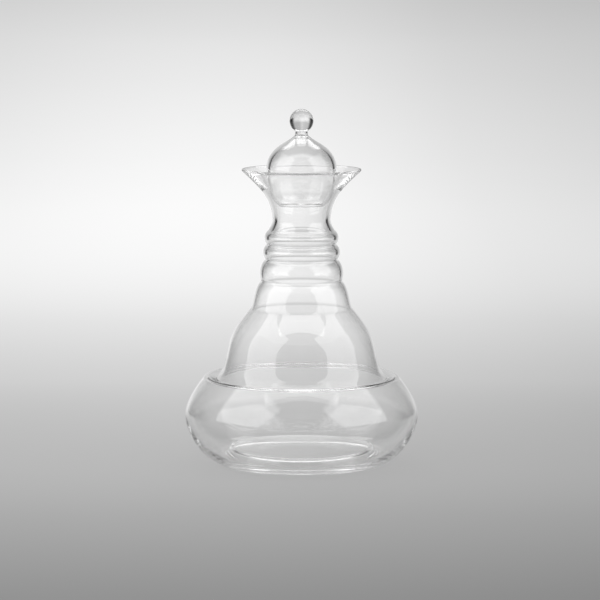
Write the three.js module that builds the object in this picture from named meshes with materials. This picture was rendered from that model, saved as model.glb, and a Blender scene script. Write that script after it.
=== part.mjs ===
import * as THREE from 'three';

// A glass carafe with a lift-off lid. Every piece is a body of revolution about the Z axis.
// Sizes are in millimetres, Z is up, and the origin is the centre of the circle that the carafe stands on.
// An outline is a list of points whose x is a radius and whose y is a height.

// Foot: a flat standing ring round a floor that is pushed up.
const STANDING_RING_RADIUS = 54;
const STANDING_RING_WIDTH = 3;
const KICK_RADIUS = 47;
const KICK_HEIGHT = 6.6;
const KICK_BLEND = 0.55;
const FLOOR_EDGE_OVERHANG = 1.8;
const FLOOR_WALL = 3;
const HEEL_WALL = 3.4;

// Belly: a round lower half, and an upper flank that leans in to the shoulder.
const BELLY_RADIUS = 82;
const BELLY_HEIGHT = 34.5;
const BELLY_WALL = 1.3;
const BELLY_FULLNESS = 0.43;
const FLANK_LIFT = 8;
const FLANK_LEAN_DEGREES = 52;
const FLANK_REACH = 11;

// Shoulder: a rolled crest, and the shallow valley between the crest and the bell.
const CREST_RADIUS = 67.6;
const CREST_RISE = 27.5;
const CREST_ROUND = 2.6;
const VALLEY_INSET = 7.2;
const VALLEY_DROP = 2.6;
const VALLEY_WALL = 1.8;

// Bell: it flares into the valley at its foot and narrows to the crease under the swell.
const BELL_FOOT_INSET = 4.5;
const BELL_FOOT_RISE = 6.4;
const BELL_SIDE_RADIUS = 53.3;
const BELL_SIDE_RISE = 8.7;
const BELL_SIDE_WALL = 1.5;
const BELL_MIDDLE_RADIUS = 50.6;
const BELL_MIDDLE_RISE = 11.5;
const BELL_SHOULDER_RADIUS = 47.3;
const BELL_SHOULDER_RISE = 7.4;
const BELL_TOP_RADIUS = 42.4;
const BELL_TOP_RISE = 7.2;

// Ringed neck: a swell and three rings between grooves. A groove's rise is from the groove before it.
const CREASE_RADIUS = 35.4;
const CREASE_RISE = 8.8;
const CREASE_WALL = 1.5;
const SWELL_RADIUS = 33;
const LOWER_GROOVE_RADIUS = 28.4;
const LOWER_GROOVE_RISE = 19.2;
const LOWER_GROOVE_WALL = 1.9;
const LOWER_RING_RADIUS = 29.05;
const MIDDLE_GROOVE_RADIUS = 25.1;
const MIDDLE_GROOVE_RISE = 15.3;
const MIDDLE_RING_RADIUS = 26.95;
const UPPER_GROOVE_RADIUS = 24.1;
const UPPER_GROOVE_RISE = 10.5;
const UPPER_RING_RADIUS = 25.9;
const TOP_GROOVE_RADIUS = 23;
const TOP_GROOVE_RISE = 10;
const RING_FULLNESS = 0.3;

// Mouth: a narrow throat and a flare that carries the lid.
const THROAT_RADIUS = 20.3;
const THROAT_RISE = 6.8;
const THROAT_WALL = 3.1;
const FLARE_FOOT_RADIUS = 22.3;
const FLARE_FOOT_RISE = 10.7;
const FLARE_MIDDLE_RADIUS = 27.8;
const FLARE_MIDDLE_RISE = 9.9;
const FLARE_MIDDLE_WALL = 2.9;
const RIM_RADIUS = 41.6;
const RIM_RISE = 13.9;
const RIM_WALL = 1.8;

// Lid: a hollow bulb, open below, that hangs in the flare. Its heights are from its widest circle.
const LID_RADIUS = 25;
const LID_WALL = 2.6;
const LID_MOUTH_RADIUS = 15.5;
const LID_MOUTH_WALL = 1.3;
const BOWL_DEPTH = 22.5;
const BOWL_SIDE_FULLNESS = 0.58;
const BOWL_FLOOR_REACH = 4.5;
const BOWL_FLOOR_SLOPE_DEGREES = 25;
const DOME_RISE = 26;
const DOME_SIDE_LIFT = 14;
const DOME_SHOULDER_RADIUS = 10.4;
const DOME_SHOULDER_RISE = 22.4;
const DOME_SHOULDER_REACH = 7.5;
const DOME_SLOPE_DEGREES = 30;
const DOME_HOLLOW_REACH = 4;
const SEAT_GAP = 0.3;

// Knob: a solid ball on a short neck, on the flat top of the lid.
const KNOB_FOOT_RADIUS = 5.3;
const KNOB_NECK_RADIUS = 4.4;
const KNOB_NECK_RISE = 3.1;
const KNOB_RADIUS = 8.4;
const KNOB_GAP = 0.3;

// Fineness of the solids.
const TURN_STEPS = 40;
const LONG_CURVE_STEPS = 6;
const SHORT_CURVE_STEPS = 4;
const SPLINE_STEPS = 3;
const RING_STEPS = 5;
const LIP_STEPS = 4;
const BALL_STEPS = 10;

const GLASS_COLOUR = 0xe9efee;
const GLASS_ROUGHNESS = 0.03;
const GLASS_OPACITY = 0.35;

const point = (radius, height) => new THREE.Vector2(radius, height);

function stepFrom(start, towards, length) {
  return start.clone().add(towards.clone().sub(start).setLength(length));
}

function stepAlong(start, degrees, length) {
  const angle = THREE.MathUtils.degToRad(degrees);
  return point(start.x + length * Math.cos(angle), start.y + length * Math.sin(angle));
}

// Joins stretches of outline end to end, without repeating the points where they meet.
function chain(...stretches) {
  const outline = [];
  for (const next of stretches.flat()) {
    const last = outline.at(-1);
    if (!last || last.distanceTo(next) > 1e-6) outline.push(next);
  }
  return outline;
}

// The inward side of an outline that runs upwards, at a wall thickness that depends on the height.
function insideOf(outline, wallAt) {
  return outline.map((here, index) => {
    const before = outline[Math.max(index - 1, 0)];
    const after = outline[Math.min(index + 1, outline.length - 1)];
    const along = after.clone().sub(before).normalize();
    return point(-along.y, along.x).multiplyScalar(wallAt(here.y)).add(here);
  });
}

// A round lip from the end of one wall face to the end of the other, counter-clockwise.
function lip(from, to) {
  const centre = from.clone().lerp(to, 0.5);
  const start = from.clone().sub(centre).angle();
  const radius = from.distanceTo(to) / 2;
  const halfTurn = new THREE.EllipseCurve(centre.x, centre.y, radius, radius, start, start + Math.PI);
  return halfTurn.getPoints(LIP_STEPS);
}

function glassPiece(name, outline) {
  const geometry = new THREE.LatheGeometry(outline, TURN_STEPS);
  geometry.rotateX(Math.PI / 2);
  const material = new THREE.MeshStandardMaterial({
    color: GLASS_COLOUR,
    roughness: GLASS_ROUGHNESS,
    metalness: 0,
    transparent: true,
    opacity: GLASS_OPACITY,
  });
  const mesh = new THREE.Mesh(geometry, material);
  mesh.name = name;
  return mesh;
}

// A smooth line through points.
function smoothLine(points) {
  return new THREE.SplineCurve(points).getPoints((points.length - 1) * SPLINE_STEPS);
}

// A rounded corner on the way from one point to another.
function roundedCorner(before, corner, after, length) {
  const start = stepFrom(corner, before, length);
  const end = stepFrom(corner, after, length);
  return new THREE.QuadraticBezierCurve(start, corner, end).getPoints(SHORT_CURVE_STEPS);
}

// A ring that swells out to a radius midway between two grooves. There a cubic curve lies at an eighth
// of each end and three eighths of each pull.
function ringBetween(low, high, radius) {
  const pull = (8 * radius - low.x - high.x) / 6;
  const lift = (high.y - low.y) * RING_FULLNESS;
  const ring = new THREE.CubicBezierCurve(low, point(pull, low.y + lift), point(pull, high.y - lift), high);
  return ring.getPoints(RING_STEPS);
}

// Circles that the upper vessel passes through, from the widest one up.
const widest = point(BELLY_RADIUS, BELLY_HEIGHT);
const crest = point(CREST_RADIUS, widest.y + CREST_RISE);
const valley = point(crest.x - VALLEY_INSET, crest.y - VALLEY_DROP);
const bellFoot = point(valley.x - BELL_FOOT_INSET, valley.y + BELL_FOOT_RISE);
const bellSide = point(BELL_SIDE_RADIUS, bellFoot.y + BELL_SIDE_RISE);
const bellMiddle = point(BELL_MIDDLE_RADIUS, bellSide.y + BELL_MIDDLE_RISE);
const bellShoulder = point(BELL_SHOULDER_RADIUS, bellMiddle.y + BELL_SHOULDER_RISE);
const bellTop = point(BELL_TOP_RADIUS, bellShoulder.y + BELL_TOP_RISE);
const crease = point(CREASE_RADIUS, bellTop.y + CREASE_RISE);
const lowerGroove = point(LOWER_GROOVE_RADIUS, crease.y + LOWER_GROOVE_RISE);
const middleGroove = point(MIDDLE_GROOVE_RADIUS, lowerGroove.y + MIDDLE_GROOVE_RISE);
const upperGroove = point(UPPER_GROOVE_RADIUS, middleGroove.y + UPPER_GROOVE_RISE);
const topGroove = point(TOP_GROOVE_RADIUS, upperGroove.y + TOP_GROOVE_RISE);
const throat = point(THROAT_RADIUS, topGroove.y + THROAT_RISE);
const flareFoot = point(FLARE_FOOT_RADIUS, throat.y + FLARE_FOOT_RISE);
const flareMiddle = point(FLARE_MIDDLE_RADIUS, flareFoot.y + FLARE_MIDDLE_RISE);
const rim = point(RIM_RADIUS, flareMiddle.y + RIM_RISE);

// Wall thickness of the upper vessel at a height, straight between the heights that state it.
const wallRows = [
  { height: widest.y, wall: BELLY_WALL },
  { height: valley.y, wall: VALLEY_WALL },
  { height: bellSide.y, wall: BELL_SIDE_WALL },
  { height: crease.y, wall: CREASE_WALL },
  { height: lowerGroove.y, wall: LOWER_GROOVE_WALL },
  { height: throat.y, wall: THROAT_WALL },
  { height: flareMiddle.y, wall: FLARE_MIDDLE_WALL },
  { height: rim.y, wall: RIM_WALL },
];
function vesselWall(height) {
  const upper = Math.max(1, wallRows.findIndex((row) => row.height >= height));
  const [low, high] = [wallRows[upper - 1], wallRows[upper]];
  return THREE.MathUtils.mapLinear(height, low.height, high.height, low.wall, high.wall);
}

// Underside: the raised floor from the axis out, its riser, and the flat standing ring.
const ringInner = STANDING_RING_RADIUS - STANDING_RING_WIDTH / 2;
const ringOuter = STANDING_RING_RADIUS + STANDING_RING_WIDTH / 2;
function riser(edgeRadius, edgeHeight, footRadius, footHeight) {
  const reach = (footRadius - edgeRadius) * KICK_BLEND;
  return new THREE.CubicBezierCurve(
    point(edgeRadius, edgeHeight),
    point(edgeRadius + reach, edgeHeight),
    point(footRadius - reach, footHeight),
    point(footRadius, footHeight),
  ).getPoints(LONG_CURVE_STEPS);
}
const underside = chain(
  [point(0, KICK_HEIGHT)],
  riser(KICK_RADIUS, KICK_HEIGHT, ringInner, 0),
  [point(ringOuter, 0)],
);

// Lower half of the belly, from the standing ring or from the inner floor out to the widest circle.
function lowerBelly(footHeight, bellyRadius) {
  const reach = (bellyRadius - ringOuter) * BELLY_FULLNESS;
  const lift = (BELLY_HEIGHT - footHeight) * BELLY_FULLNESS;
  return new THREE.CubicBezierCurve(
    point(ringOuter, footHeight),
    point(ringOuter + reach, footHeight),
    point(bellyRadius, BELLY_HEIGHT - lift),
    point(bellyRadius, BELLY_HEIGHT),
  ).getPoints(LONG_CURVE_STEPS);
}

// Flank and shoulder, from the widest circle up over the crest and down into the valley.
const flankPull = stepAlong(crest, -FLANK_LEAN_DEGREES, FLANK_REACH);
const flank = new THREE.CubicBezierCurve(
  widest,
  point(widest.x, widest.y + FLANK_LIFT),
  flankPull,
  stepFrom(crest, flankPull, CREST_ROUND),
);
const shoulder = chain(
  flank.getPoints(LONG_CURVE_STEPS),
  roundedCorner(flankPull, crest, valley, CREST_ROUND),
  [valley],
);

// Bell, rings and mouth, on the outside of the glass and on the inside.
const upperOutside = chain(
  shoulder,
  smoothLine([valley, bellFoot, bellSide, bellMiddle, bellShoulder, bellTop, crease]),
  ringBetween(crease, lowerGroove, SWELL_RADIUS),
  ringBetween(lowerGroove, middleGroove, LOWER_RING_RADIUS),
  ringBetween(middleGroove, upperGroove, MIDDLE_RING_RADIUS),
  ringBetween(upperGroove, topGroove, UPPER_RING_RADIUS),
  smoothLine([topGroove, throat, flareFoot, flareMiddle, rim]),
);
const upperInside = insideOf(upperOutside, vesselWall);

// Inner floor: the lower belly inside, down to the valley over the standing ring, and the raised floor.
const innerBelly = lowerBelly(HEEL_WALL, BELLY_RADIUS - BELLY_WALL);
const floorTop = KICK_HEIGHT + FLOOR_WALL;
const innerFloor = riser(KICK_RADIUS + FLOOR_EDGE_OVERHANG, floorTop, ringOuter, HEEL_WALL);

const vesselOutline = chain(
  underside,
  lowerBelly(0, BELLY_RADIUS),
  upperOutside,
  lip(upperOutside.at(-1), upperInside.at(-1)),
  upperInside.slice(1).toReversed(),
  innerBelly.toReversed(),
  innerFloor.toReversed(),
  [point(0, floorTop)],
);

// Lid bulb: the bowl from its mouth up to the widest circle, the dome, and the hollow slope up to the knob.
const lidMouth = point(LID_MOUTH_RADIUS, -BOWL_DEPTH);
const bowl = new THREE.CubicBezierCurve(
  lidMouth,
  stepAlong(lidMouth, BOWL_FLOOR_SLOPE_DEGREES, BOWL_FLOOR_REACH),
  point(LID_RADIUS, -BOWL_DEPTH * BOWL_SIDE_FULLNESS),
  point(LID_RADIUS, 0),
);
const domeShoulder = point(DOME_SHOULDER_RADIUS, DOME_SHOULDER_RISE);
const dome = new THREE.CubicBezierCurve(
  point(LID_RADIUS, 0),
  point(LID_RADIUS, DOME_SIDE_LIFT),
  stepAlong(domeShoulder, -DOME_SLOPE_DEGREES, DOME_SHOULDER_REACH),
  domeShoulder,
);
const domeHollow = new THREE.QuadraticBezierCurve(
  domeShoulder,
  stepAlong(domeShoulder, -DOME_SLOPE_DEGREES, -DOME_HOLLOW_REACH),
  point(KNOB_FOOT_RADIUS, DOME_RISE),
);
const lidOutside = chain(
  bowl.getPoints(LONG_CURVE_STEPS),
  dome.getPoints(LONG_CURVE_STEPS),
  domeHollow.getPoints(SHORT_CURVE_STEPS),
);

// Wall thickness of the lid at a height: the bowl thins out towards its mouth.
function lidWall(height) {
  return THREE.MathUtils.mapLinear(Math.min(height, 0), -BOWL_DEPTH, 0, LID_MOUTH_WALL, LID_WALL);
}
const lidInside = insideOf(lidOutside, lidWall);
const bulbOutline = chain(
  [point(0, lidInside.at(-1).y)],
  lidInside.toReversed(),
  lip(lidInside[0], lidOutside[0]),
  lidOutside,
  [point(0, DOME_RISE)],
);

// Knob: its foot lies on the lid's flat top, and the neck runs into the ball where the ball is as narrow.
const knobFoot = DOME_RISE + KNOB_GAP;
const neckTop = knobFoot + KNOB_NECK_RISE;
const ballStart = -Math.acos(KNOB_NECK_RADIUS / KNOB_RADIUS);
const ballCentre = neckTop - KNOB_RADIUS * Math.sin(ballStart);
const knobNeck = new THREE.QuadraticBezierCurve(
  point(KNOB_FOOT_RADIUS, knobFoot),
  point(KNOB_NECK_RADIUS, knobFoot),
  point(KNOB_NECK_RADIUS, neckTop),
);
const ball = new THREE.EllipseCurve(0, ballCentre, KNOB_RADIUS, KNOB_RADIUS, ballStart, Math.PI / 2);
const knobOutline = chain(
  [point(0, knobFoot)],
  knobNeck.getPoints(LIP_STEPS),
  ball.getPoints(BALL_STEPS).slice(0, -1),
  [point(0, ballCentre + KNOB_RADIUS)],
);

// The lid sinks into the flare until the nearest point of its bowl is the seat's gap away from the glass.
const throatIndex = upperInside.reduce((low, here, index) => (here.x < upperInside[low].x ? index : low), 0);
const flareInside = upperInside.slice(throatIndex);
function flareHeight(radius) {
  const upper = Math.max(1, flareInside.findIndex((here) => here.x >= radius));
  const [low, high] = [flareInside[upper - 1], flareInside[upper]];
  return THREE.MathUtils.mapLinear(radius, low.x, high.x, low.y, high.y);
}
const seatLine = insideOf(bowl.getPoints(LONG_CURVE_STEPS), () => -SEAT_GAP);
const seated = seatLine.filter((here) => here.x > flareInside[0].x);
const lidHeight = Math.max(...seated.map((here) => flareHeight(here.x) - here.y));

const lid = new THREE.Group();
lid.add(glassPiece('lid_bulb', bulbOutline), glassPiece('lid_knob', knobOutline));
lid.position.z = lidHeight;

const carafe = new THREE.Group();
carafe.add(glassPiece('carafe_body', vesselOutline), lid);

export default carafe;
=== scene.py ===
"""A clear blown-glass carafe with a lift-off lid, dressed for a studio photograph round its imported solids."""
import logging
import math
from dataclasses import dataclass
from enum import Enum
from typing import Any, Callable, Iterable, Sequence

import bmesh
import bpy
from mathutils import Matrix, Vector
from mathutils.geometry import interpolate_bezier


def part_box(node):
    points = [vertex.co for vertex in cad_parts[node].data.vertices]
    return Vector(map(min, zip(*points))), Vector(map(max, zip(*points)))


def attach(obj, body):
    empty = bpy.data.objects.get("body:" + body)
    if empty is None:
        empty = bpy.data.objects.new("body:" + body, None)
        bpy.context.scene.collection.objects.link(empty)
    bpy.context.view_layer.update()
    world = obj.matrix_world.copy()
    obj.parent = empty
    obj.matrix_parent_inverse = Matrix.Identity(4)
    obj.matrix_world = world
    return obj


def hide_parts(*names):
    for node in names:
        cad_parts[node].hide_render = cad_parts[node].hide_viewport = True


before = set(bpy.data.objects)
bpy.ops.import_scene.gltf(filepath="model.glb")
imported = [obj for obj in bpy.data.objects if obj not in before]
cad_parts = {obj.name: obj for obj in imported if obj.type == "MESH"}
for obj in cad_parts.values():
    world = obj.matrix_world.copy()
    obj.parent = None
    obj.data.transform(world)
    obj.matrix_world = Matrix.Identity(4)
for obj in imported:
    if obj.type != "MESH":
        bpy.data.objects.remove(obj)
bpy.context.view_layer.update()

MM = 0.001
TURN_STEPS = 216
CURVE_STEPS = 16
ROUND_STEPS = 8
SPLINE_STEPS = 8
SAME_POINT = 1e-4
SAME_VERTEX = 1e-7

# A circle is a radius and a height, a level a height and a thickness, and a stop a distance and a grey.
Circle = tuple[float, float]
Level = tuple[float, float]
Stop = tuple[float, float]

log = logging.getLogger("carafe")


class Body(Enum):
    """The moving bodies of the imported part."""

    CARAFE = "carafe"
    LID = "lid"


class Slot(Enum):
    """The record's material slots."""

    VESSEL = "vessel_glass"
    LID = "lid_glass"


def linear(hex_colour: str) -> tuple[float, float, float, float]:
    """Turns an sRGB hex colour into linear light.

    Args:
        hex_colour: Six hex digits after a hash mark.

    Returns:
        Linear red, green and blue, and a full alpha.
    """
    channels = [int(hex_colour[i:i + 2], 16) / 255 for i in (1, 3, 5)]
    light = [c / 12.92 if c <= 0.04045 else ((c + 0.055) / 1.055) ** 2.4 for c in channels]
    return (light[0], light[1], light[2], 1.0)


def add_node(tree: bpy.types.NodeTree, kind: str, links: dict[str | int, Any] | None = None,
             values: dict[str | int, Any] | None = None, **settings: Any) -> bpy.types.Node:
    """Adds a node with its settings, values and incoming links.

    Args:
        tree: The node tree that gets the node.
        kind: The node's type name.
        links: Inputs by name or number, each with the output socket that feeds it.
        values: Inputs by name or number, each with the value set on the socket.
        settings: Properties of the node itself.

    Returns:
        The new node.
    """
    node = tree.nodes.new(kind)
    for name, value in settings.items():
        setattr(node, name, value)
    for name, value in (values or {}).items():
        node.inputs[name].default_value = value
    for name, socket in (links or {}).items():
        tree.links.new(socket, node.inputs[name])
    return node


def graded(tree: bpy.types.NodeTree, distance: bpy.types.NodeSocket,
           stops: Sequence[Stop]) -> bpy.types.NodeSocket:
    """Grades a distance into a shade of grey.

    Args:
        tree: The node tree that gets the nodes.
        distance: The socket that gives the distance.
        stops: Distances in rising order, each with its grey.

    Returns:
        The socket that gives the grey.
    """
    first, last = stops[0][0], stops[-1][0]
    share = add_node(tree, "ShaderNodeMapRange", {"Value": distance}, {"From Min": first, "From Max": last})
    ramp = add_node(tree, "ShaderNodeValToRGB", {"Fac": share.outputs["Result"]})
    ramp.color_ramp.interpolation = "B_SPLINE"
    elements = ramp.color_ramp.elements
    while len(elements) < len(stops):
        elements.new(0.5)
    for element, (place, grey) in zip(elements, stops):
        element.position = (place - first) / (last - first)
        element.color = (grey, grey, grey, 1)
    return ramp.outputs["Color"]


def pt(radius: float, height: float) -> Vector:
    """Makes a point of an outline from a radius and a height."""
    return Vector((radius, height))


def toward(start: Vector, target: Vector, length: float) -> Vector:
    """Gives the point that lies a length from start on the way to target."""
    return start + (target - start).normalized() * length


def along(start: Vector, degrees: float, length: float) -> Vector:
    """Gives the point that lies a length from start in a direction."""
    angle = math.radians(degrees)
    return start + length * pt(math.cos(angle), math.sin(angle))


def bezier(start: Vector, first: Vector, second: Vector, end: Vector,
           steps: int = CURVE_STEPS) -> list[Vector]:
    """Samples a cubic curve.

    Args:
        start: Where the curve starts.
        first: The handle of the start.
        second: The handle of the end.
        end: Where the curve ends.
        steps: How many pieces the curve is cut into.

    Returns:
        The points, both ends included.
    """
    controls = [p.to_3d() for p in (start, first, second, end)]
    return [p.to_2d() for p in interpolate_bezier(*controls, steps + 1)]


def rounded(start: Vector, corner: Vector, end: Vector) -> list[Vector]:
    """Rounds a corner between two points with a quadratic curve."""
    return bezier(start, start.lerp(corner, 2 / 3), end.lerp(corner, 2 / 3), end, ROUND_STEPS)


def spline(knots: Sequence[Vector]) -> list[Vector]:
    """Samples the smooth curve that passes through knots, each tangent running between its two neighbours.

    Args:
        knots: The points that the curve passes through.

    Returns:
        The points, both ends included.
    """
    points = [knots[0]]
    last = len(knots) - 1
    for i in range(last):
        start, end = knots[i], knots[i + 1]
        first = start + (end - knots[max(i - 1, 0)]) / 6
        second = end - (knots[min(i + 2, last)] - start) / 6
        points += bezier(start, first, second, end, SPLINE_STEPS)[1:]
    return points


def arc(centre: Vector, radius: float, start: float, sweep: float, steps: int) -> list[Vector]:
    """Samples a circular arc that starts at an angle and sweeps on, both in radians."""
    angles = [start + sweep * i / steps for i in range(steps + 1)]
    return [centre + radius * Vector((math.cos(a), math.sin(a))) for a in angles]


def lip(start: Vector, end: Vector) -> list[Vector]:
    """Rounds the edge of a wall with a half circle.

    Args:
        start: The edge of one face.
        end: The edge of the other face, reached counter-clockwise.

    Returns:
        The points, both ends included.
    """
    centre = (start + end) / 2
    spoke = start - centre
    return arc(centre, spoke.length, math.atan2(spoke.y, spoke.x), math.pi, ROUND_STEPS)


def inside_of(outline: Sequence[Vector], wall_at: Callable[[float], float]) -> list[Vector]:
    """Offsets an outline that runs upwards to its inner face.

    Args:
        outline: The outer face.
        wall_at: Gives the wall thickness at a height.

    Returns:
        One inner point for each outer point.
    """
    inner = []
    for i, here in enumerate(outline):
        heading = (outline[min(i + 1, len(outline) - 1)] - outline[max(i - 1, 0)]).normalized()
        inner.append(here + Vector((-heading.y, heading.x)) * wall_at(here.y))
    return inner


def chain(*stretches: Iterable[Vector]) -> list[Vector]:
    """Joins stretches of outline, leaving out points that repeat where they meet.

    Args:
        stretches: Stretches in order, each starting where the one before it ends.

    Returns:
        The points of the whole outline.
    """
    outline: list[Vector] = []
    for stretch in stretches:
        for here in stretch:
            if not outline or (here - outline[-1]).length > SAME_POINT:
                outline.append(here)
    return outline


def spun(name: str, outline: Sequence[Vector], unit: float = MM, steps: int = TURN_STEPS) -> bpy.types.Object:
    """Spins an outline about the Z axis into a smooth surface.

    Args:
        name: The name of the new object.
        outline: The points, the first of them on the axis.
        unit: The length of the outline's unit in metres.
        steps: How many faces go round.

    Returns:
        The new object, at the origin and linked to the scene.
    """
    shape = bmesh.new()
    verts = [shape.verts.new((p.x * unit, 0.0, p.y * unit)) for p in outline]
    edges = [shape.edges.new(pair) for pair in zip(verts, verts[1:])]
    bmesh.ops.spin(shape, geom=[*verts, *edges], cent=(0, 0, 0), axis=(0, 0, 1), angle=math.tau, steps=steps,
                   use_merge=True)
    bmesh.ops.remove_doubles(shape, verts=shape.verts, dist=SAME_VERTEX)
    bmesh.ops.recalc_face_normals(shape, faces=shape.faces)
    mesh = bpy.data.meshes.new(name)
    shape.to_mesh(mesh)
    shape.free()
    mesh.shade_smooth()
    piece = bpy.data.objects.new(name, mesh)
    bpy.context.scene.collection.objects.link(piece)
    return piece


@dataclass(frozen=True)
class BlownGlass:
    """Soda-lime glass, blown and fire-polished: clear to the edge, glossy, with a slow wave in its face."""

    name: str
    tint: str = "#FFFFFF"
    ior: float = 1.5
    roughness: float = 0.0
    wave_mm: float = 26.0
    wave_height_mm: float = 0.03
    wave_detail: float = 1.0
    wave_fineness: float = 0.4

    def material(self) -> bpy.types.Material:
        """Builds the glass.

        Returns:
            The new material.
        """
        material = bpy.data.materials.new(self.name)
        material.use_nodes = True
        tree = material.node_tree
        shader = tree.nodes["Principled BSDF"]
        shader.inputs["Base Color"].default_value = linear(self.tint)
        shader.inputs["Roughness"].default_value = self.roughness
        shader.inputs["IOR"].default_value = self.ior
        shader.inputs["Transmission Weight"].default_value = 1.0
        place = add_node(tree, "ShaderNodeTexCoord")
        # The breath of the blower leaves a slow, shallow wave that bends reflections a little.
        wave = add_node(tree, "ShaderNodeTexNoise", {"Vector": place.outputs["Object"]},
                        {"Scale": 1 / (self.wave_mm * MM), "Detail": self.wave_detail,
                         "Roughness": self.wave_fineness})
        bump = add_node(tree, "ShaderNodeBump", {"Height": wave.outputs["Fac"]},
                        {"Strength": 1.0, "Distance": self.wave_height_mm * MM})
        tree.links.new(bump.outputs["Normal"], shader.inputs["Normal"])
        return material


@dataclass(frozen=True)
class PaintedLightPaper:
    """Matt background paper that glows with painted light. Its emission and its colour carry a painted pool
    of light and painted shade, not lamps. Distances are in metres.

    The painted pool is palest at the back, greyer to the front and to the right. Painted shade makes it dark
    at the back on both sides. Clear glass bends the dark parts into the thin lines that draw its edges.
    """

    name: str = "paper_painted_light"
    roughness: float = 1.0
    gloss: float = 0.0
    glow: float = 0.9
    shade: float = 0.1
    # Painted light: greys of the painted pool by depth to the back and by distance to the right.
    depth_stops: tuple[Stop, ...] = (
        (-2.0, 0.3), (-1.0, 0.2), (-0.45, 0.28), (-0.2, 0.42), (-0.03, 0.49), (0.18, 0.53), (0.39, 0.62),
        (0.8, 0.805), (1.1, 0.91), (1.44, 0.965), (1.94, 1.0), (2.36, 0.99), (2.7, 0.93), (3.0, 0.83),
        (3.2, 0.66))
    side_stops: tuple[Stop, ...] = (
        (-1.5, 0.8), (-0.5, 0.9), (-0.25, 1.0), (-0.05, 1.0), (0.1, 0.93), (0.25, 0.84), (0.5, 0.74),
        (1.5, 0.7))
    near_depth: float = 0.8
    # Painted shade: greys by slant to the sides, dark at the back on both sides, and the depth where it starts.
    dusk_stops: tuple[Stop, ...] = (
        (0.42, 1.0), (0.5, 1.0), (0.7, 0.0), (1.1, 0.0), (1.6, 0.0), (2.2, 0.4), (3.0, 0.5))
    dusk_start_stops: tuple[Stop, ...] = ((0.4, 0.0), (0.6, 0.0), (0.9, 1.0), (1.1, 1.0))

    def dusk(self, tree: bpy.types.NodeTree, across: bpy.types.NodeSocket,
             back: bpy.types.NodeSocket) -> bpy.types.NodeSocket:
        """Paints shade on the paper by the slant at which a place is seen from the carafe, beyond a depth.

        Args:
            tree: The node tree that gets the nodes.
            across: The socket that gives the distance to the right.
            back: The socket that gives the distance to the back.

        Returns:
            The socket that gives the share of painted light left after the painted shade.
        """
        aside = add_node(tree, "ShaderNodeMath", {0: across}, operation="ABSOLUTE")
        behind = add_node(tree, "ShaderNodeMath", {0: back}, {1: self.near_depth}, operation="MAXIMUM")
        slant = add_node(tree, "ShaderNodeMath", {0: aside.outputs["Value"], 1: behind.outputs["Value"]},
                         operation="DIVIDE")
        # Painted shade, dark where the slant is wide, standing in for dark flags at the sides.
        fall = graded(tree, slant.outputs["Value"], self.dusk_stops)
        start = graded(tree, back, self.dusk_start_stops)
        return add_node(tree, "ShaderNodeMix", {"Factor": start, "B": fall}, {"A": 1.0}).outputs["Result"]

    def material(self) -> bpy.types.Material:
        """Builds the paper with its painted light and painted shade.

        Returns:
            The new material.
        """
        material = bpy.data.materials.new(self.name)
        material.use_nodes = True
        tree = material.node_tree
        shader = tree.nodes["Principled BSDF"]
        shader.inputs["Roughness"].default_value = self.roughness
        shader.inputs["Specular IOR Level"].default_value = self.gloss
        shader.inputs["Emission Strength"].default_value = self.glow
        place = add_node(tree, "ShaderNodeTexCoord")
        axes = add_node(tree, "ShaderNodeSeparateXYZ", {"Vector": place.outputs["Object"]})
        across, back = axes.outputs["X"], axes.outputs["Y"]
        # The painted pool of light by depth and by side, times the painted shade, makes one painted light.
        depth = graded(tree, back, self.depth_stops)
        sides = graded(tree, across, self.side_stops)
        dusk = self.dusk(tree, across, back)
        pool = add_node(tree, "ShaderNodeVectorMath", {0: depth, 1: sides}, operation="MULTIPLY")
        light = add_node(tree, "ShaderNodeVectorMath", {0: pool.outputs["Vector"], 1: dusk},
                         operation="MULTIPLY")
        # The paper's own colour is this painted light scaled down, so the painted pool and shade show in it
        # too.
        paper = add_node(tree, "ShaderNodeVectorMath", {0: light.outputs["Vector"]}, {"Scale": self.shade},
                         operation="SCALE")
        tree.links.new(paper.outputs["Vector"], shader.inputs["Base Color"])
        # The paper glows with the painted light, though it is no lamp.
        tree.links.new(light.outputs["Vector"], shader.inputs["Emission Color"])
        return material


@dataclass
class Sweep:
    """The pale paper that the carafe stands on: a flat floor with a raised edge. Sizes are in metres."""

    flat_radius: float = 2.2
    sweep_radius: float = 1.8
    wall_height: float = 1.6
    gap: float = 0.0003
    turn_steps: int = 96

    def build(self) -> bpy.types.Object:
        """Spins the floor and its raised edge into one smooth dish that faces inwards.

        Returns:
            The dish, a piece of the stage.
        """
        corner = pt(self.flat_radius, self.sweep_radius - self.gap)
        rise = arc(corner, self.sweep_radius, -math.pi / 2, math.pi / 2, CURVE_STEPS)
        outline = [pt(0, -self.gap), *rise, rise[-1] + pt(0, self.wall_height)]
        sweep = spun("sweep", outline, 1.0, self.turn_steps)
        sweep.data.flip_normals()
        return sweep

    def dress(self, piece: bpy.types.Object) -> None:
        """Covers the dish with its paper, which glows with painted light."""
        piece.data.materials.append(PaintedLightPaper().material())


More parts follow.
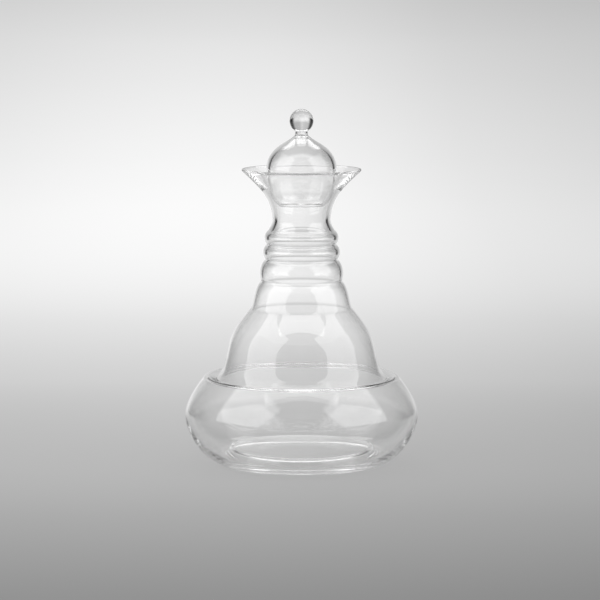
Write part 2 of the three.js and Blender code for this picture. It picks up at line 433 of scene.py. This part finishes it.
@dataclass
class Vessel:
    """The carafe's body: one wall of glass from the raised floor to the flared rim.

    Sizes are in millimetres.
    """

    ring_radius: float = 54.0
    ring_width: float = 3.0
    kick_radius: float = 47.0
    kick_height: float = 6.6
    kick_blend: float = 0.55
    floor_overhang: float = 1.8
    floor_wall: float = 3.0
    heel_wall: float = 3.4
    widest: Circle = (82.0, 34.5)
    belly_wall: float = 1.3
    belly_fullness: float = 0.43
    flank_lift: float = 8.0
    flank_lean: float = 52.0
    flank_reach: float = 11.0
    crest: Circle = (67.6, 62.0)
    crest_round: float = 2.6
    valley: Circle = (60.4, 59.4)
    bell: tuple[Circle, ...] = (
        (55.9, 65.8), (53.3, 74.5), (50.6, 86.0), (47.3, 93.4), (42.4, 100.6), (35.4, 109.4))
    grooves: tuple[Circle, ...] = ((28.4, 128.6), (25.1, 143.9), (24.1, 154.4), (23.0, 164.4))
    rings: tuple[float, ...] = (33.0, 29.05, 26.95, 25.9)
    ring_fullness: float = 0.3
    flare: tuple[Circle, ...] = ((20.3, 171.2), (22.3, 181.9), (27.8, 191.8), (41.6, 205.7))
    walls: tuple[Level, ...] = (
        (34.5, 1.3), (59.4, 1.8), (74.5, 1.5), (109.4, 1.5), (128.6, 1.9), (171.2, 3.1), (191.8, 2.9),
        (205.7, 1.8))

    def wall_at(self, height: float) -> float:
        """Gives the wall thickness at a height, straight between the levels that state it.

        Args:
            height: The height of a point of the outer face.

        Returns:
            The thickness there.
        """
        for (low, thin), (high, thick) in zip(self.walls, self.walls[1:]):
            if height <= high:
                break
        return thin + (thick - thin) * (max(height, self.walls[0][0]) - low) / (high - low)

    def riser(self, edge: Vector, foot: Vector) -> list[Vector]:
        """Draws the step from the raised floor's edge down to the standing ring."""
        reach = pt((foot.x - edge.x) * self.kick_blend, 0)
        return bezier(edge, edge + reach, foot - reach, foot)

    def lower_belly(self, foot: Vector, end: Vector) -> list[Vector]:
        """Draws the lower half of the belly.

        Args:
            foot: Where it leaves the standing ring.
            end: Where it meets the widest circle.

        Returns:
            The points, both ends included.
        """
        reach = pt((end.x - foot.x) * self.belly_fullness, 0)
        lift = pt(0, (end.y - foot.y) * self.belly_fullness)
        return bezier(foot, foot + reach, end - lift, end)

    def shoulder(self) -> list[Vector]:
        """Draws the flank, the rolled crest of the shoulder and the drop into the valley.

        Returns:
            The points from the widest circle to the valley.
        """
        widest, crest, valley = pt(*self.widest), pt(*self.crest), pt(*self.valley)
        pull = along(crest, -self.flank_lean, self.flank_reach)
        flank = bezier(widest, widest + pt(0, self.flank_lift), pull, toward(crest, pull, self.crest_round))
        return chain(flank, rounded(flank[-1], crest, toward(crest, valley, self.crest_round)), [valley])

    def ring_between(self, low: Vector, high: Vector, radius: float) -> list[Vector]:
        """Draws a ring that swells out between two grooves.

        Args:
            low: The lower groove.
            high: The upper groove.
            radius: The ring's radius, which the curve passes through midway.

        Returns:
            The points, both grooves included.
        """
        pull = (8 * radius - low.x - high.x) / 6
        lift = (high.y - low.y) * self.ring_fullness
        return bezier(low, pt(pull, low.y + lift), pt(pull, high.y - lift), high)

    def upper_faces(self) -> tuple[list[Vector], list[Vector]]:
        """Draws the upper vessel, from the widest circle up to the rim.

        Returns:
            The outer and the inner face.
        """
        shoulder = self.shoulder()
        bell = [shoulder[-1], *(pt(*circle) for circle in self.bell)]
        grooves = [bell[-1], *(pt(*circle) for circle in self.grooves)]
        flare = [grooves[-1], *(pt(*circle) for circle in self.flare)]
        rings = [self.ring_between(*ends, radius) for *ends, radius in zip(grooves, grooves[1:], self.rings)]
        outer = chain(shoulder, spline(bell), *rings, spline(flare))
        return outer, inside_of(outer, self.wall_at)

    def outline(self) -> list[Vector]:
        """Draws the whole wall.

        Returns:
            The points from the middle of the underside round the rim to the middle of the floor.
        """
        ring_inner = pt(self.ring_radius - self.ring_width / 2, 0)
        ring_outer = pt(self.ring_radius + self.ring_width / 2, 0)
        heel = ring_outer + pt(0, self.heel_wall)
        floor = pt(self.kick_radius + self.floor_overhang, self.kick_height + self.floor_wall)
        widest = pt(*self.widest)
        outer, inner = self.upper_faces()
        underside = self.riser(pt(self.kick_radius, self.kick_height), ring_inner)
        inner_belly = self.lower_belly(heel, widest - pt(self.belly_wall, 0))
        return chain([pt(0, self.kick_height)], underside, self.lower_belly(ring_outer, widest), outer,
                     lip(outer[-1], inner[-1]), reversed(inner[1:]), reversed(inner_belly),
                     reversed(self.riser(floor, heel)), [pt(0, floor.y)])

    def build(self) -> bpy.types.Object:
        """Turns the vessel and lets it stand for its solid.

        Returns:
            The vessel.
        """
        piece = spun("vessel_glass", self.outline())
        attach(piece, Body.CARAFE.value)
        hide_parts("carafe_body")
        return piece

    def dress(self, piece: bpy.types.Object) -> None:
        """Gives the vessel its glass."""
        piece.data.materials.append(BlownGlass("clear_glass_blown_vessel").material())


@dataclass
class Lid:
    """The lid: a hollow blown bulb, open below, with a solid ball knob fused on.

    Sizes are in millimetres, and heights are from the widest circle.
    """

    radius: float = 25.0
    wall: float = 2.6
    mouth_radius: float = 15.5
    mouth_wall: float = 1.3
    bowl_depth: float = 22.5
    bowl_side_fullness: float = 0.58
    bowl_floor_reach: float = 4.5
    bowl_floor_slope: float = 25.0
    dome_rise: float = 26.0
    dome_side_lift: float = 14.0
    dome_shoulder: Circle = (10.4, 22.4)
    dome_shoulder_reach: float = 7.5
    dome_slope: float = 30.0
    dome_hollow_reach: float = 4.0
    knob_foot_radius: float = 5.3
    knob_neck_radius: float = 4.4
    knob_neck_rise: float = 3.4
    knob_radius: float = 8.4

    def place(self) -> float:
        """Reads the height of the lid's widest circle from the top of its solid."""
        _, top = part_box("lid_bulb")
        return top.z / MM - self.dome_rise

    def wall_at(self, height: float) -> float:
        """Gives the wall thickness at a height: it thins out from the widest circle to the mouth."""
        return self.wall + (self.wall - self.mouth_wall) * min(height, 0) / self.bowl_depth

    def bulb(self) -> list[Vector]:
        """Draws the bulb's outer face.

        Returns:
            The points from the mouth up to the knob's foot.
        """
        mouth = pt(self.mouth_radius, -self.bowl_depth)
        widest = pt(self.radius, 0)
        shoulder = pt(*self.dome_shoulder)
        bowl = bezier(mouth, along(mouth, self.bowl_floor_slope, self.bowl_floor_reach),
                      pt(self.radius, -self.bowl_depth * self.bowl_side_fullness), widest)
        dome = bezier(widest, pt(self.radius, self.dome_side_lift),
                      along(shoulder, -self.dome_slope, self.dome_shoulder_reach), shoulder)
        hollow = rounded(shoulder, along(shoulder, -self.dome_slope, -self.dome_hollow_reach),
                         pt(self.knob_foot_radius, self.dome_rise))
        return chain(bowl, dome, hollow)

    def knob(self, foot: Vector) -> list[Vector]:
        """Draws the knob's neck and ball.

        Args:
            foot: Where the neck leaves the bulb.

        Returns:
            The points from the foot up to the top of the ball, on the axis.
        """
        neck_top = self.dome_rise + self.knob_neck_rise
        neck = rounded(foot, pt(self.knob_neck_radius, self.dome_rise), pt(self.knob_neck_radius, neck_top))
        start = -math.acos(self.knob_neck_radius / self.knob_radius)
        centre = pt(0, neck_top - self.knob_radius * math.sin(start))
        ball = arc(centre, self.knob_radius, start, math.pi / 2 - start, CURVE_STEPS)
        return chain(neck, ball[:-1], [pt(0, centre.y + self.knob_radius)])

    def outline(self) -> list[Vector]:
        """Draws the whole lid.

        Returns:
            The points from the top of the hollow round the mouth to the top of the ball.
        """
        outer = self.bulb()
        inner = inside_of(outer, self.wall_at)
        return chain([pt(0, inner[-1].y)], reversed(inner), lip(inner[0], outer[0]), outer,
                     self.knob(outer[-1]))

    def build(self) -> bpy.types.Object:
        """Turns the lid and lets it stand for the bulb and the knob, which are fused.

        Returns:
            The lid.
        """
        lift = pt(0, self.place())
        piece = spun("lid_glass", [p + lift for p in self.outline()])
        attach(piece, Body.LID.value)
        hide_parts("lid_bulb", "lid_knob")
        return piece

    def dress(self, piece: bpy.types.Object) -> None:
        """Gives the lid its glass."""
        piece.data.materials.append(BlownGlass("clear_glass_blown_lid").material())


@dataclass(frozen=True)
class SoftBox:
    """A flat studio lamp behind a diffuser. Places and sizes are in metres."""

    name: str
    place: tuple[float, float, float]
    aim: tuple[float, float, float]
    width: float
    height: float
    brightness: float

    def build(self) -> None:
        """Hangs the lamp. Its power follows from its size, so that its face has the brightness stated."""
        lamp = bpy.data.lights.new(self.name, "AREA")
        lamp.shape = "RECTANGLE"
        lamp.size = self.width
        lamp.size_y = self.height
        lamp.energy = self.brightness * math.pi * self.width * self.height
        holder = bpy.data.objects.new(self.name, lamp)
        holder.location = self.place
        aim = Vector(self.aim) - Vector(self.place)
        holder.rotation_euler = aim.to_track_quat("-Z", "Y").to_euler()
        bpy.context.scene.collection.objects.link(holder)


@dataclass
class Studio:
    """The room round the carafe, its lamps and the camera. Sizes are in metres and angles in degrees."""

    room_grey: float = 0.5
    light_bounces: int = 64
    camera_distance: float = 2.087
    camera_height: float = 0.3637
    camera_side: float = -0.00105
    camera_pitch: float = 6.8
    camera_angle: float = 11.45
    lamps: tuple[SoftBox, ...] = (
        SoftBox("left_box", (-1.68, -0.7, 1.28), (0, 0, 0.2), 2.2, 2.0, 1.5),
        SoftBox("right_box", (1.68, -0.7, 1.28), (0, 0, 0.2), 2.2, 2.0, 1.5),
        SoftBox("top_box", (0.0, -0.7, 2.1), (0, 0, 0.15), 2.4, 0.6, 1.6),
        SoftBox("back_box", (0.0, 1.5, 2.1), (0, 0, 0.1), 2.4, 0.9, 2.0),
    )

    def build_room(self) -> None:
        """Fills the room with dim even light."""
        world = bpy.data.worlds.new("studio")
        world.use_nodes = True
        grey = (self.room_grey, self.room_grey, self.room_grey, 1)
        world.node_tree.nodes["Background"].inputs["Color"].default_value = grey
        bpy.context.scene.world = world

    def build_camera(self) -> None:
        """Sets the camera at the photograph's angle."""
        camera = bpy.data.cameras.new("camera")
        camera.sensor_fit = "HORIZONTAL"
        camera.lens_unit = "FOV"
        camera.angle = math.radians(self.camera_angle)
        holder = bpy.data.objects.new("camera", camera)
        holder.location = (self.camera_side, -self.camera_distance, self.camera_height)
        holder.rotation_euler = (math.pi / 2 - math.radians(self.camera_pitch), 0, 0)
        bpy.context.scene.collection.objects.link(holder)
        bpy.context.scene.camera = holder

    def build(self) -> None:
        """Builds the room, the lamps and the camera."""
        self.build_room()
        for lamp in self.lamps:
            lamp.build()
        self.build_camera()
        bpy.context.scene.view_settings.view_transform = "Standard"
        # Light crosses many walls and turns round inside thick glass, so paths are long.
        cycles = bpy.context.scene.cycles
        cycles.max_bounces = self.light_bounces
        cycles.transmission_bounces = self.light_bounces
        cycles.glossy_bounces = self.light_bounces


def main() -> None:
    """Builds the studio, the sweep, the vessel and the lid, in that order."""
    logging.basicConfig(level=logging.INFO, format="%(name)s: %(message)s")
    Studio().build()
    for maker in (Sweep(), Vessel(), Lid()):
        piece = maker.build()
        maker.dress(piece)
        log.info("%s has %d faces", piece.name, len(piece.data.polygons))


if __name__ == "__main__":
    main()
